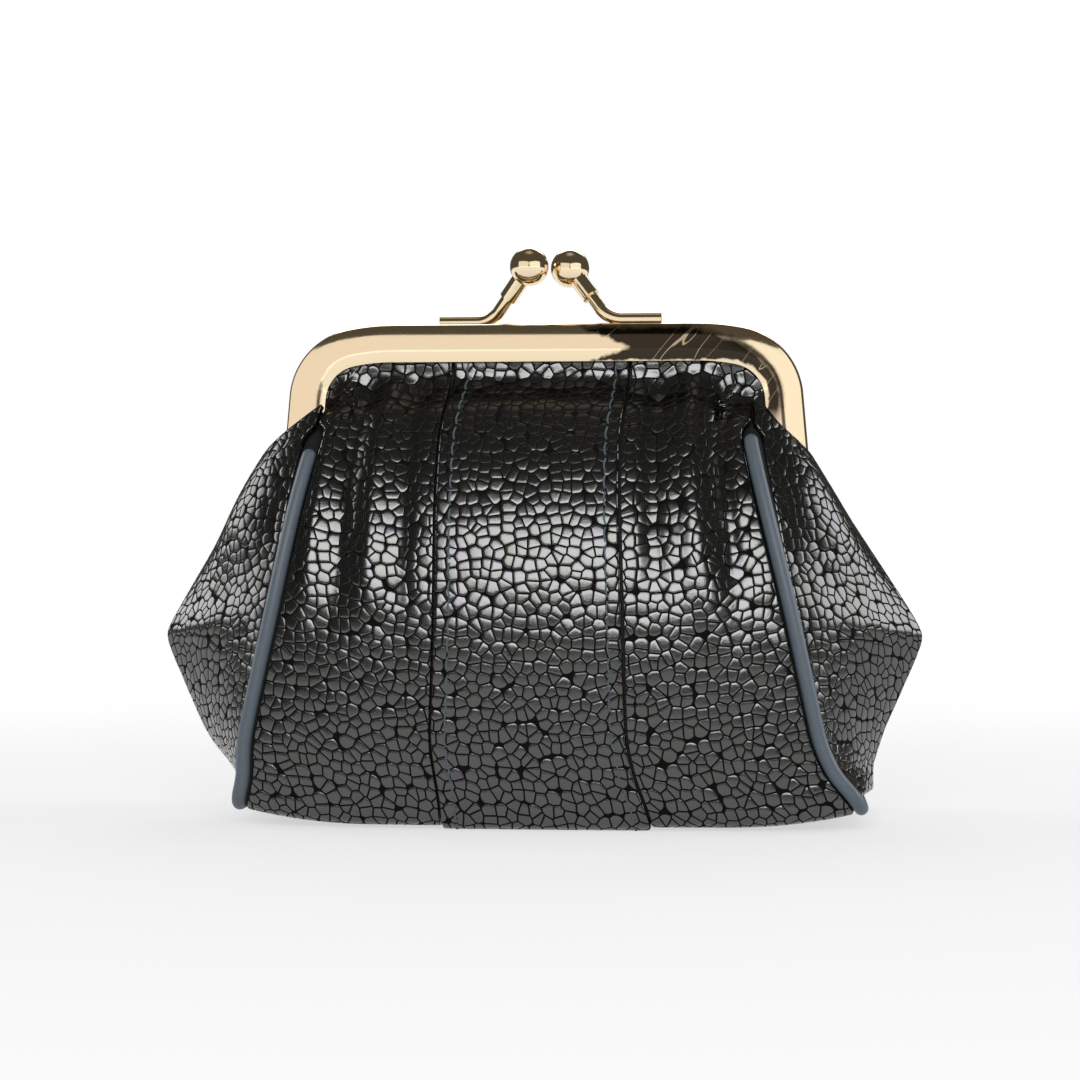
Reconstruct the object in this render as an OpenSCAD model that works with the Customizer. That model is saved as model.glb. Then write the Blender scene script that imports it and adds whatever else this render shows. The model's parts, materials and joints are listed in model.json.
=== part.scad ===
// Squeeze coin purse: a hinged two-half metal frame with a ball clasp grips a soft leather bag.
// X runs to the right, Y to the back, Z up. The origin is under the middle of the base.

/* [Frame] */
// Width of the frame over its shoulders
frame_w = 83.9; // [76:0.1:92]
// Height of the frame's top edge above the table
frame_top = 80.5; // [76:0.5:86]
// Radius of the gentle droop at each end of the top bar
crown_r = 36; // [30:1:44]
// Turn of that droop before the corner starts, in degrees
crown_turn = 12; // [9:0.5:15]
// Outer radius of each corner
corner_r = 12; // [11:0.5:14]
// Outward lean of the legs, in degrees
splay = 5; // [3:0.5:6]
// Width of the channel's face
band = 6.2; // [5.8:0.1:6.8]
// Depth of one frame half, from the parting plane to its face
half_depth = 5; // [4.8:0.1:5.6]
// Gap between each half and the parting plane
parting = 0.1; // [0.05:0.05:0.2]
// Thickness of the sheet metal
sheet = 0.8; // [0.6:0.05:0.9]
// Radius of the channel's curved face
face_r = 10; // [8:0.5:14]
// Radius of the rounded outer edge
edge_r = 1.6; // [1.2:0.1:2]

/* [Hinge] */
// Height of the hinge axis
hinge_z = 56; // [54:0.5:57]
// Diameter of the rivet's shank
rivet_d = 2; // [1.6:0.1:2.4]
// Diameter of the rivet's outer head
rivet_head_d = 4; // [3.4:0.1:4.6]
// Diameter of the rivet's closed inner end
rivet_end_d = 3; // [2.6:0.1:3.4]
// Running clearance between shank and hinge tab
rivet_play = 0.05; // [0.03:0.01:0.08]
// Radius of the hinge tabs
tab_r = 3; // [2.6:0.1:3.2]
// Gap between the two hinge tabs
tab_gap = 0.3; // [0.2:0.05:0.4]
// How far the legs reach below the hinge axis
leg_below = 2.8; // [2:0.1:3.2]
// Angle that each half swings open, in degrees
open_angle = 40; // [30:1:42]

/* [Clasp] */
// Diameter of the balls
knob_d = 6.3; // [5.6:0.1:7]
// Gap between the balls as they pass
knob_gap = 0.15; // [0.1:0.05:0.3]
// Height of the balls' centres above the frame's top
knob_rise = 9.5; // [8.5:0.1:10.5]
// How far each ball has crossed over the parting plane
knob_cross = 1.6; // [1.2:0.1:2]
// Place of the clasp's middle along the top bar
clasp_x = 0.6; // [-2:0.1:2]
// Diameter of the stem's wire
stem_d = 2.1; // [1.8:0.1:2.3]
// Length of the stem's foot
foot_l = 8.6; // [7:0.1:10]
// Distance from the clasp's middle to the inner end of each foot
foot_reach = 9.8; // [9:0.1:11]
// Radius of the stem's bend
stem_bend_r = 4.5; // [3.5:0.1:5.5]
// Outer diameter of the ball's neck
neck_d = 2.9; // [2.7:0.1:3.3]
// Length of the neck below the ball
neck_l = 3.4; // [2.6:0.1:4]

/* [Bag] */
// Half width of the front at the base
base_half_w = 48.2; // [45:0.1:50]
// Half width of the front where the piping ends under the frame
neck_half_w = 34.9; // [33:0.1:35.5]
// Height where the piping ends under the frame
piping_top = 62; // [60:0.5:63]
// Half depth of the bag at its base, in the middle
base_depth = 22; // [18:0.5:24]
// Half depth of the bag at its belly, in the middle
belly_depth = 23; // [21:0.5:26]
// Half depth of the bag at its belly, along the piping
belly_edge_depth = 20; // [18:0.5:21.5]
// Half depth of the bag at its base, along the piping
base_edge_depth = 19.5; // [17:0.5:20.5]
// Height of the belly
belly_z = 22; // [18:1:26]
// How full the bag is below the frame: 1 is straight, 2 and more is puffed out
fullness = 2.4; // [1.2:0.1:3]
// Depth of the leather where it passes in front of the frame legs
ear_depth = 6.6; // [6.4:0.1:7.4]
// Top of the leather in front of the frame legs
ear_top = 67.8; // [66:0.1:68]
// How far the side seams lean outwards above the piping
ear_lean = 1.2; // [0.8:0.1:1.3]
// Half width across the folded gussets at their widest
fold_half_w = 62.9; // [60:0.1:65]
// Height of the gussets' widest point
fold_z = 29.8; // [27:0.1:33]
// Room between the hinge and the outside of the folded gussets
fold_room = 1.9; // [1.8:0.1:2.6]
// Top of the gussets' fold
fold_top = 58.6; // [58:0.1:59]
// Half width of the folded gussets at the base
fold_base_half_w = 49.6; // [49.4:0.1:52]
// Half width of the middle strip at the top
strip_half_w = 14.4; // [13:0.1:16]
// Half width of the middle strip at the base
strip_base_half_w = 16; // [15:0.1:18]
// How far the middle strip stands proud of the side panels
strip_proud = 0.5; // [0.3:0.05:0.7]
// Thickness of the leather
leather = 1.1; // [0.9:0.05:1.2]
// Thickness of the lining
lining = 0.4; // [0.3:0.05:0.5]
// Gap between leather and lining
lining_gap = 0.15; // [0.1:0.01:0.2]
// Radius of the bend along the base
base_bend_r = 3; // [2.5:0.5:6]
// Diameter of the piping
piping_d = 2.3; // [1.8:0.1:2.6]
// Diameter of the paper cord that wedges the leather in the channel
paper_d = 1.1; // [0.9:0.05:1.2]

/* [Hidden] */
$fn = 48;
eps = 0.01;
champagne = [0.86, 0.76, 0.58];
black_leather = [0.09, 0.09, 0.10];
slate = [0.33, 0.38, 0.43];
lining_black = [0.05, 0.05, 0.06];

// The right half of the frame's outer edge: a straight, a droop, a corner and a leg.
corner_end = 90 - splay;
crown_half = frame_w / 2 - crown_r * sin(crown_turn)
    - corner_r * (sin(corner_end) - sin(crown_turn));
droop_c = [crown_half, frame_top - crown_r];
corner_c = droop_c + (crown_r - corner_r) * [sin(crown_turn), cos(crown_turn)];
shoulder = corner_c + corner_r * [sin(corner_end), cos(corner_end)];
leg_l = (shoulder[1] - hinge_z + leg_below) / cos(splay);
cord_end_z = 63;
cord_leg_l = (shoulder[1] - cord_end_z) / cos(splay);

// Depths inside the channel: leather, lining and cord lie one behind the other.
grip_slip = 0.08;
crown_off = 0.6;
lip_depth = half_depth - face_r + sqrt(pow(face_r - sheet, 2) - pow(band / 2 - crown_off, 2));
grip_depth = lip_depth - grip_slip;
grip_inset = 2.6;
leg_inset = 4.4;
lining_in = leather + lining_gap;
paper_q = -4.4;
paper_depth = parting + sheet + 0.05 + paper_d / 2;

// The hinge tabs lie flat to the rivet's axis, the front half's outside the rear half's.
hinge_x = shoulder[0] + (shoulder[1] - hinge_z) * tan(splay) - grip_slip;
front_tab_x = hinge_x - sheet;
rear_tab_x = front_tab_x - tab_gap - sheet;
tab_clear = 0.3;
tab_cut = 1.3;
fold_top_half_w = hinge_x + fold_room;

function clamp01(t) = max(0, min(1, t));
function ease(t) = let (c = clamp01(t)) c * c * (3 - 2 * c);
function mix(a, b, t) = a + (b - a) * t;
function unit(v) = v / max(norm(v), 1e-9);
function soft_min(a, b, r) = (a + b) / 2 - sqrt(pow((a - b) / 2, 2) + r * r);

// Half width at height z of the frame's outer edge, moved inwards by inset.
function inset_x(z, inset) =
    let (droop_end = droop_c[1] + (crown_r - inset) * cos(crown_turn))
    let (corner_low = corner_c[1] + (corner_r - inset) * cos(corner_end))
    z >= droop_end
    ? droop_c[0] + sqrt(max(0, pow(crown_r - inset, 2) - pow(z - droop_c[1], 2)))
    : z >= corner_low
    ? corner_c[0] + sqrt(max(0, pow(corner_r - inset, 2) - pow(z - corner_c[1], 2)))
    : corner_c[0] + (corner_r - inset) * sin(corner_end) + (corner_low - z) * tan(splay);

// Distance of a point of the front view from the frame's outer edge.
function edge_distance(x, z) =
    let (turn = atan2(x - droop_c[0], z - droop_c[1]))
    let (corner_turn = atan2(x - corner_c[0], z - corner_c[1]))
    x <= droop_c[0] ? frame_top - z
    : turn <= crown_turn ? crown_r - norm([x, z] - droop_c)
    : corner_turn <= corner_end ? corner_r - norm([x, z] - corner_c)
    : (inset_x(z, 0) - x) * cos(splay);

// The bag's outer surface, as half widths and half depths at height z.
base_z = strip_proud;
grip_z = frame_top - band;
wall_z = base_z + base_bend_r;
top_z = frame_top - grip_inset;
function belly(z, top, top_h, mid, low) = z > belly_z
    ? mid - (mid - top) * pow(clamp01((z - belly_z) / (top_h - belly_z)), fullness)
    : mid - (mid - low) * pow((belly_z - z) / belly_z, 2);
function centre_depth(z) = belly(z, grip_depth, grip_z, belly_depth, base_depth);
function edge_depth(z) = belly(z, ear_depth, ear_top, belly_edge_depth, base_edge_depth);
function piping_x(z) = mix(base_half_w, neck_half_w, z / piping_top)
    + ear_lean * ease((z - piping_top + lean_start) / (ear_top - piping_top + lean_start));
function strip_x(z) = mix(strip_half_w, strip_base_half_w, pow(1 - clamp01(z / grip_z), 3));
lean_start = 2;
tuck_low = ear_top - 1.4;
tuck_high = ear_top + 1;
tuck_start = 1.9;
tuck_run = 5;
spread_low = ear_top + 1;
spread_run = 2.5;
edge_power = 2.2;
function side_inset(z) = mix(leg_inset, grip_inset, ease((z - shoulder[1]) / (top_z - shoulder[1])));
function side_x(z) = mix(piping_x(z), inset_x(z, side_inset(z)), ease((z - spread_low) / spread_run));
function panel_depth(x, z) =
    let (full = mix(centre_depth(z), edge_depth(z), pow(abs(x) / side_x(min(z, tuck_low)), edge_power)))
    let (inside = edge_distance(abs(x), z) - band)
    let (tuck = mix(1, ease((inside - tuck_start) / tuck_run), ease((z - tuck_low) / (tuck_high - tuck_low))))
    grip_depth + (full - grip_depth) * tuck;

// One half of the bag in rows from the base seam up: flat base, bend, then wall.
seam = 0.1;
wall_rows = 20;
bend_rows = 3;
ROWS = [-1, for (i = [0:bend_rows]) i, for (i = [1:wall_rows]) bend_rows + i];
function row_z(i) = i <= bend_rows
    ? base_z + base_bend_r * (1 - cos(90 * max(i, 0) / bend_rows))
    : mix(wall_z, top_z, sin(90 * (i - bend_rows) / wall_rows));
function row_y(i, x) = i < 0 ? seam
    : i <= bend_rows
    ? panel_depth(x, wall_z) - base_bend_r * (1 - sin(90 * i / bend_rows))
    : panel_depth(x, row_z(i));
function bag_point(i, x) = [x, -row_y(i, x), row_z(i)];

// A grid of points moved along its own normals.
function grid_normal(g, r, c) =
    let (rows = len(g) - 1, cols = len(g[0]) - 1)
    let (up = g[min(r + 1, rows)][c] - g[max(r - 1, 0)][c])
    let (over = g[r][min(c + 1, cols)] - g[r][max(c - 1, 0)])
    unit(cross(over, up));
function moved(g, d) = [for (r = [0:len(g) - 1])
    [for (c = [0:len(g[0]) - 1]) g[r][c] + d[r] * grid_normal(g, r, c)]];
function joined(rows) = [for (row = rows) each row];

// A sheet of even thickness: the grid moved out by each row's lift and in by the rest.
// The left half of an even grid has its triangles mirrored.
module skin(g, lifts, thick, even = true) {
    rows = len(g);
    cols = len(g[0]);
    n = rows * cols;
    outer = joined(moved(g, lifts));
    inner = joined(moved(g, [for (lift = lifts) lift - thick]));
    quads = [for (r = [0:rows - 2]) for (c = [0:cols - 2])
        [r * cols + c, r * cols + c + 1, (r + 1) * cols + c + 1, (r + 1) * cols + c]];
    low_edge = [for (c = [0:cols - 1]) c];
    right_edge = [for (r = [1:rows - 1]) r * cols + cols - 1];
    top_edge = [for (c = [cols - 2:-1:0]) (rows - 1) * cols + c];
    left_edge = [for (r = [rows - 2:-1:1]) r * cols];
    rim = concat(low_edge, right_edge, top_edge, left_edge);
    function turned(q) = even && q[0] % cols < (cols - 1) / 2 ? [q[1], q[2], q[3], q[0]] : q;
    faces = [
        for (quad = quads) let (q = turned(quad))
            each [[q[0], q[2], q[1]], [q[0], q[3], q[2]]],
        for (quad = quads) let (q = n * [1, 1, 1, 1] + turned(quad))
            each [[q[0], q[1], q[2]], [q[0], q[2], q[3]]],
        for (i = [0:len(rim) - 1])
            let (a = rim[i], b = rim[(i + 1) % len(rim)])
            each [[a, b, n + b], [a, n + b, n + a]],
    ];
    polyhedron(points = concat(outer, inner), faces = faces, convexity = 8);
}

// The channel's section: q runs outwards from the outer edge, the other axis is the depth.
module rounded_bar(inset, open_end) {
    low = parting + inset;
    high = half_depth - inset;
    r = edge_r - inset;
    intersection() {
        union() {
            translate([-open_end, low])
                square([open_end - edge_r, high - low]);
            translate([-open_end, low])
                square([open_end - inset, high - low - r]);
            translate([-edge_r, half_depth - edge_r])
                circle(r);
        }
        translate([-band / 2 - crown_off, half_depth - face_r])
            circle(face_r - inset, $fn = 96);
    }
}

module channel_section(trim) {
    difference() {
        rounded_bar(trim, band - trim);
        rounded_bar(sheet - trim, band + sheet);
    }
}

// Sweeps a section along the frame's outline. Neighbouring stretches lap by a hair,
// with the second section a hair thinner than the first, so they join into one solid.
hair = 0.01;
lap = 0.15;
module along_frame(tail) {
    module straight(from, to) {
        translate([from, 0, 0])
            rotate([90, 0, 90])
                linear_extrude(to - from)
                    children();
    }
    module corner(r, turn) {
        translate([0, -r, 0])
            rotate([0, 0, 90 - turn])
                rotate_extrude(angle = turn, $fn = 96)
                    translate([r, 0])
                        children();
    }
    module half() {
        translate([crown_half, 0, 0])
            corner(crown_r, crown_turn)
                children(1);
        translate([corner_c[0], corner_c[1] - frame_top, 0])
            rotate([0, 0, lap_turn - crown_turn])
                translate([0, corner_r, 0])
                    corner(corner_r, corner_end - crown_turn + 2 * lap_turn)
                        children(0);
        translate([shoulder[0], shoulder[1] - frame_top, 0])
            rotate([0, 0, -corner_end])
                straight(0, tail)
                    children(1);
    }
    lap_turn = atan(lap / corner_r);
    translate([0, 0, frame_top])
        rotate([90, 0, 0]) {
            straight(-crown_half - lap, crown_half + lap)
                children(0);
            on_both_sides()
                half() {
                    children(0);
                    children(1);
                }
        }
}

module on_both_sides() {
    children();
    mirror([1, 0, 0])
        children();
}

// A disc about the hinge axis between two distances from the middle.
module hinge_disc(from, to, r) {
    translate([from, 0, hinge_z])
        rotate([0, 90, 0])
            cylinder(r = r, h = to - from);
}

// Takes off what would meet the other half when the frame is open.
module leg_bevel() {
    reach = frame_w / 2;
    translate([0, 0, hinge_z])
        rotate([-(90 - open_angle), 0, 0])
            translate([-frame_w, 0, -reach])
                cube([2 * frame_w, reach, 2 * reach]);
}

module frame_front() {
    color(champagne)
        difference() {
            union() {
                difference() {
                    along_frame(leg_l) {
                        channel_section(0);
                        channel_section(hair);
                    }
                    leg_bevel();
                    on_both_sides()
                        hinge_disc(rear_tab_x - tab_cut, front_tab_x, tab_r + tab_clear);
                }
                on_both_sides()
                    hinge_disc(front_tab_x, hinge_x, tab_r);
            }
            on_both_sides() {
                hinge_disc(hinge_x, hinge_x + tab_cut, tab_r);
                hinge_disc(front_tab_x - eps, hinge_x + eps, rivet_d / 2 + rivet_play);
            }
        }
}

module frame_rear() {
    neck_top = hinge_z + 2 * tab_r;
    color(champagne)
        difference() {
            union() {
                difference() {
                    mirror([0, 1, 0])
                        difference() {
                            along_frame(leg_l) {
                                channel_section(0);
                                channel_section(hair);
                            }
                            leg_bevel();
                        }
                    on_both_sides() {
                        hinge_disc(rear_tab_x - tab_cut, rear_tab_x, tab_r + tab_clear);
                        hinge_disc(rear_tab_x + sheet, hinge_x + tab_cut, tab_r + tab_clear);
                    }
                }
                on_both_sides() {
                    hinge_disc(rear_tab_x, rear_tab_x + sheet, tab_r);
                    translate([rear_tab_x, parting, hinge_z])
                        cube([sheet, tab_r - parting, neck_top - hinge_z]);
                }
            }
            on_both_sides()
                hinge_disc(rear_tab_x - eps, rear_tab_x + sheet + eps, rivet_d / 2 + rivet_play);
        }
}

module hinge_rivet() {
    end_h = 0.6;
    rim_h = 0.2;
    dome_h = 0.55;
    dome_r = (pow(rivet_head_d / 2, 2) + dome_h * dome_h) / (2 * dome_h);
    grip = hinge_x - rear_tab_x + 2 * rivet_play;
    translate([rear_tab_x - rivet_play, 0, hinge_z])
        rotate([0, 90, 0])
            rotate_extrude() {
                translate([0, -end_h])
                    square([rivet_end_d / 2, end_h]);
                translate([0, -end_h])
                    square([rivet_d / 2, end_h + grip + rim_h]);
                translate([0, grip])
                    square([rivet_head_d / 2, rim_h]);
                intersection() {
                    translate([0, grip + rim_h + dome_h - dome_r])
                        circle(dome_r, $fn = 96);
                    translate([0, grip + rim_h / 2])
                        square([rivet_head_d / 2, rim_h / 2 + dome_h + 1]);
                }
            }
}

module hinge_rivet_right() {
    color(champagne)
        hinge_rivet();
}

module hinge_rivet_left() {
    color(champagne)
        mirror([1, 0, 0])
            hinge_rivet();
}

// The stem's wire lies on the frame, bends up and leans across to its ball.
foot_axis_z = stem_d / 2 - 0.3;
foot_y = 2.4;
knob_x = (knob_d + knob_gap) / 2;
rise_y = foot_y + knob_cross;
rise_z = knob_rise - foot_axis_z;
lean = atan2(rise_y, rise_z);
climb = norm([rise_y, rise_z]);
run = foot_reach - knob_x;
stem_angle = atan2(climb, run);
bend_tangent = stem_bend_r * tan(stem_angle / 2);
arm_l = norm([climb, run]) - bend_tangent;
socket = 1;

// Places children so that X points from the ball down the stem.
module at_knob() {
    translate([clasp_x + knob_x, knob_cross, frame_top + knob_rise])
        rotate([-lean, 0, 0])
            rotate([0, stem_angle, 0])
                children();
}

module clasp_stem() {
    color(champagne)
        difference() {
            translate([clasp_x + foot_reach, -foot_y, frame_top + foot_axis_z]) {
                translate([bend_tangent - lap, 0, 0])
                    rotate([0, 90, 0])
                        cylinder(d = stem_d, h = foot_l - bend_tangent + lap);
                rotate([-lean, 0, 0])
                    translate([bend_tangent, 0, stem_bend_r])
                        rotate([90, 0, 0])
                            rotate([0, 0, -90 - stem_angle])
                                rotate_extrude(angle = stem_angle)
                                    translate([stem_bend_r, 0])
                                        circle(d = stem_d - 2 * hair);
                rotate([-lean, 0, 0])
                    rotate([0, stem_angle - 90, 0])
                        translate([0, 0, bend_tangent - lap])
                            cylinder(d = stem_d, h = arm_l - socket + lap);
            }
            translate([clasp_x, -half_depth, frame_top - stem_d])
                cube([foot_reach + foot_l + stem_d, 2 * half_depth, stem_d]);
        }
}

module clasp_knob() {
    color(champagne)
        difference() {
            union() {
                at_knob()
                    sphere(d = knob_d, $fn = 64);
                at_knob()
                    rotate([0, 90, 0])
                        cylinder(d = neck_d, h = knob_d / 2 + neck_l);
            }
            at_knob()
                translate([socket - 0.1, 0, 0])
                    rotate([0, 90, 0])
                        cylinder(d = stem_d + 0.06, h = knob_d + neck_l);
        }
}

// The rear stem and ball are the front ones turned half a turn about the clasp's middle.
module other_half() {
    translate([clasp_x, 0, 0])
        rotate([0, 0, 180])
            translate([-clasp_x, 0, 0])
                children();
}

module clasp_stem_front() {
    clasp_stem();
}

module clasp_stem_rear() {
    other_half()
        clasp_stem();
}

module clasp_knob_front() {
    clasp_knob();
}

module clasp_knob_rear() {
    other_half()
        clasp_knob();
}

module paper_cord_front() {
    color("burlywood")
        along_frame(cord_leg_l) {
            translate([paper_q, paper_depth])
                circle(d = paper_d);
            translate([paper_q, paper_depth])
                circle(d = paper_d - 2 * hair);
        }
}

module paper_cord_rear() {
    mirror([0, 1, 0])
        paper_cord_front();
}

// The middle strip stands proud of its neighbours, less so where the frame grips it.
function strip_lift(z) = strip_proud * (1 - ease((z - grip_z + 8) / 6));
function strip_columns(z) = [for (c = [-3:3]) c / 3 * strip_x(z)];

module strip() {
    grid = [for (i = ROWS) [for (x = strip_columns(row_z(i))) bag_point(i, x)]];
    color(black_leather)
        skin(grid, [for (i = ROWS) strip_lift(row_z(i))], leather);
}

// The side panel stops short of the piping, and above the piping it meets the gusset.
function piping_gap(z) = mix(piping_d / 2 + 2 * seam, 2.5 * seam, ease((z - piping_top - 1) / 1.5));
side_steps = [0, 0.22, 0.42, 0.6, 0.75, 0.88, 1];
function side_columns(z) =
    let (near = strip_x(z) + seam, far = side_x(z) - piping_gap(z))
    [for (step = side_steps) mix(near, far, step)];

module side_panel() {
    grid = [for (i = ROWS) [for (x = side_columns(row_z(i))) bag_point(i, x)]];
    color(black_leather)
        skin(grid, [for (i = ROWS) 0], leather, even = false);
}

module lining_half() {
    last = len(side_steps) - 1;
    grid = [for (i = ROWS)
        let (side = side_columns(row_z(i)), middle = strip_columns(row_z(i)))
        let (right = [for (c = [1:last - 1]) side[c], side[last] - lining])
        let (left = [for (c = [len(right) - 1:-1:0]) -right[c]])
        [for (x = concat(left, middle, right)) bag_point(i, x)]];
    color(lining_black)
        skin(grid, [for (i = ROWS) -lining_in], lining);
}

module front_panel_centre() {
    strip();
}

module front_panel_right() {
    side_panel();
}

module front_panel_left() {
    mirror([1, 0, 0])
        side_panel();
}

module rear_panel_centre() {
    mirror([0, 1, 0])
        strip();
}

module rear_panel_right() {
    mirror([0, 1, 0])
        side_panel();
}

module rear_panel_left() {
    mirror([1, 0, 0])
        mirror([0, 1, 0])
            side_panel();
}

module lining_front() {
    lining_half();
}

module lining_rear() {
    mirror([0, 1, 0])
        lining_half();
}

// The gusset runs from the front piping round a fold to the rear piping.
piping_low = piping_d / 2 + 0.05;
function seam_depth(z) =
    let (r = base_bend_r, low = z - piping_low)
    edge_depth(z) - (low < r ? r - sqrt(max(0, r * r - pow(r - low, 2))) : 0);
function seam_point(z) = [piping_x(z), -seam_depth(z), z];
upper_slope = (fold_half_w - fold_top_half_w) / (fold_top - fold_z);
lower_slope = (fold_half_w - fold_base_half_w) / fold_z;
fold_soft = 0.8;
function fold_x(z) = soft_min(
    fold_half_w + upper_slope * (fold_z - z),
    fold_half_w + lower_slope * (z - fold_z),
    fold_soft
);
gusset_bow = 1.2;
wrap_out = 1.5;
wrap_deep = 0.6;
wrap_low = 0.55;
wrap_high = 0.95;
function gusset_point(v, t) =
    let (pz = mix(piping_low, ear_top, v), kz = mix(piping_low, fold_top, v))
    let (p = seam_point(pz), k = [fold_x(kz), 0, kz])
    let (flat = (p + k) / 2 + gusset_bow * [1, -1, 0] * sin(180 * v))
    let (square = [k[0] + wrap_out, p[1] - wrap_deep, k[2]])
    let (q = mix(flat, square, ease((v - wrap_low) / (wrap_high - wrap_low))))
    (1 - t) * (1 - t) * p + 2 * t * (1 - t) * q + t * t * k;
gusset_rows = 16;
gusset_cols = 6;
function gusset_row(v, from) =
    let (front = [for (c = [0:gusset_cols]) gusset_point(v, mix(from, 1, c / gusset_cols))])
    let (back = [for (c = [gusset_cols - 1:-1:0]) [front[c][0], -front[c][1], front[c][2]]])
    concat(front, back);
function gusset_grid(v_low, v_high, inside) = [for (r = [0:gusset_rows])
    let (v = mix(v_low, v_high, r / gusset_rows))
    let (z = mix(piping_low, ear_top, v))
    let (width = norm(gusset_point(v, 1) - gusset_point(v, 0)))
    gusset_row(v, seam_slant * (piping_gap(z) + inside) / width)];
seam_slant = 1.1;
gusset_low = 1.3 * piping_gap(0) / (ear_top - piping_low);
function gusset_lift(lift) = [for (r = [0:gusset_rows]) lift];

module gusset() {
    color(black_leather)
        skin(gusset_grid(gusset_low, 1, 0), gusset_lift(0), leather);
}

module gusset_lining() {
    extra_gap = 0.25;
    lining_high = 0.74;
    color(lining_black)
        skin(gusset_grid(2 * gusset_low, lining_high, leather), gusset_lift(-lining_in - extra_gap), lining);
}

module gusset_right() {
    gusset();
}

module gusset_left() {
    mirror([1, 0, 0])
        gusset();
}

module lining_gusset_right() {
    gusset_lining();
}

module lining_gusset_left() {
    mirror([1, 0, 0])
        gusset_lining();
}

// The piping follows the seam down the front, under the base and up the back.
pipe_rows = 24;
PIPE_FRONT = [for (i = [0:pipe_rows]) seam_point(mix(piping_top, piping_low, sin(90 * i / pipe_rows)))];
under_y = seam_depth(piping_low);
PIPE_UNDER = [for (i = [1:5]) [piping_x(piping_low), mix(-under_y, under_y, i / 6), piping_low]];
PIPE_BACK = [for (i = [pipe_rows:-1:0]) [PIPE_FRONT[i][0], -PIPE_FRONT[i][1], PIPE_FRONT[i][2]]];
PIPE = concat(PIPE_FRONT, PIPE_UNDER, PIPE_BACK);

module tube(path, r, sides) {
    n = len(path);
    rings = [for (i = [0:n - 1])
        let (t = unit(path[min(i + 1, n - 1)] - path[max(i - 1, 0)]))
        let (u = unit(cross(t, [1, 0, 0])), w = cross(t, u))
        for (k = [0:sides - 1]) path[i] + r * (cos(360 * k / sides) * u + sin(360 * k / sides) * w)];
    walls = [for (i = [0:n - 2]) for (k = [0:sides - 1])
        let (a = i * sides + k, b = i * sides + (k + 1) % sides)
        each [[a, b + sides, b], [a, a + sides, b + sides]]];
    start = [for (k = [1:sides - 2]) [0, k, k + 1]];
    last = (n - 1) * sides;
    end = [for (k = [1:sides - 2]) [last, last + k + 1, last + k]];
    polyhedron(points = rings, faces = concat(walls, start, end), convexity = 6);
}

module piping_right() {
    color(slate)
        tube(PIPE, piping_d / 2, 8);
}

module piping_left() {
    mirror([1, 0, 0])
        piping_right();
}

frame_front();
frame_rear();
hinge_rivet_left();
hinge_rivet_right();
clasp_stem_front();
clasp_stem_rear();
clasp_knob_front();
clasp_knob_rear();
paper_cord_front();
paper_cord_rear();
front_panel_centre();
front_panel_left();
front_panel_right();
rear_panel_centre();
rear_panel_left();
rear_panel_right();
gusset_left();
gusset_right();
piping_left();
piping_right();
lining_front();
lining_rear();
lining_gusset_left();
lining_gusset_right();
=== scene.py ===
import json
import math

import bmesh
import bpy
import numpy as np
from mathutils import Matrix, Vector

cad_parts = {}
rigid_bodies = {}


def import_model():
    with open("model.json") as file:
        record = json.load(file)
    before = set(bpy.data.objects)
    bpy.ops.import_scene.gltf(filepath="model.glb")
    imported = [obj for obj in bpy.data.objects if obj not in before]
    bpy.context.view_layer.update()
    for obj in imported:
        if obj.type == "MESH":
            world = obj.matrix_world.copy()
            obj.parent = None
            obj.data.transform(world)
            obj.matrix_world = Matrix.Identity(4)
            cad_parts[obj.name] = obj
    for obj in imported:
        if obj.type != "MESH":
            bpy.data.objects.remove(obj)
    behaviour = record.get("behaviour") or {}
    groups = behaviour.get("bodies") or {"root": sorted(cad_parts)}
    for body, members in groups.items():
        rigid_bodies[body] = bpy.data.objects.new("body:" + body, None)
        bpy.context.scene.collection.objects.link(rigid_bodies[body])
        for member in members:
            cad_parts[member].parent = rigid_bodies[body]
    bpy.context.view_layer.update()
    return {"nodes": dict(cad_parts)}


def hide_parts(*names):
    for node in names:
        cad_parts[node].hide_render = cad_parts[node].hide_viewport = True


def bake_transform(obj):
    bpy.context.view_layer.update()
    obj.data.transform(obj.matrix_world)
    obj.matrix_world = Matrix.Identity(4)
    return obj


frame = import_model()
MM = 0.001
# The spacing of the leather's points, in millimetres.
FINE = 0.22

# Camera: level with the middle of the bag and a little to its right.
camera_data = bpy.data.cameras.new("camera")
camera_data.lens = 85
camera_data.sensor_width = 36
camera_data.clip_start = 0.01
camera_turn = math.radians(5)
camera_aim = Vector((-1.0, 0, 45.3)) * MM
camera_away = Vector((math.sin(camera_turn), -math.cos(camera_turn), 0))
camera = bpy.data.objects.new("camera", camera_data)
camera.location = camera_aim + camera_away * 418.6 * MM
camera.rotation_euler = (math.radians(90), 0, camera_turn)
bpy.context.scene.collection.objects.link(camera)
bpy.context.scene.camera = camera
bpy.context.scene.view_settings.view_transform = "Standard"

# Sizes are in millimetres, and the first four groups are the solids' own.
# The frame: its width and arched top, its rounded corners, splayed legs and sheet.
FRAME_W = 83.9
FRAME_TOP = 80.5
CROWN_R = 36
CROWN_TURN = math.radians(12)
CORNER_R = 12
SPLAY = math.radians(5)
BAND = 6.2
HALF_DEPTH = 5
SHEET = 0.8
FACE_R = 10
HINGE_Z = 56

# The bag: its widths at base and neck, and its depth at belly, base and ears.
BASE_HALF_W = 48.2
NECK_HALF_W = 34.9
PIPING_TOP = 62
BASE_DEPTH = 22
BELLY_DEPTH = 23
BELLY_EDGE_DEPTH = 20
BASE_EDGE_DEPTH = 19.5
BELLY_Z = 22
FULLNESS = 2.4
EAR_DEPTH = 6.6
EAR_TOP = 67.8
EAR_LEAN = 1.2

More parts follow.
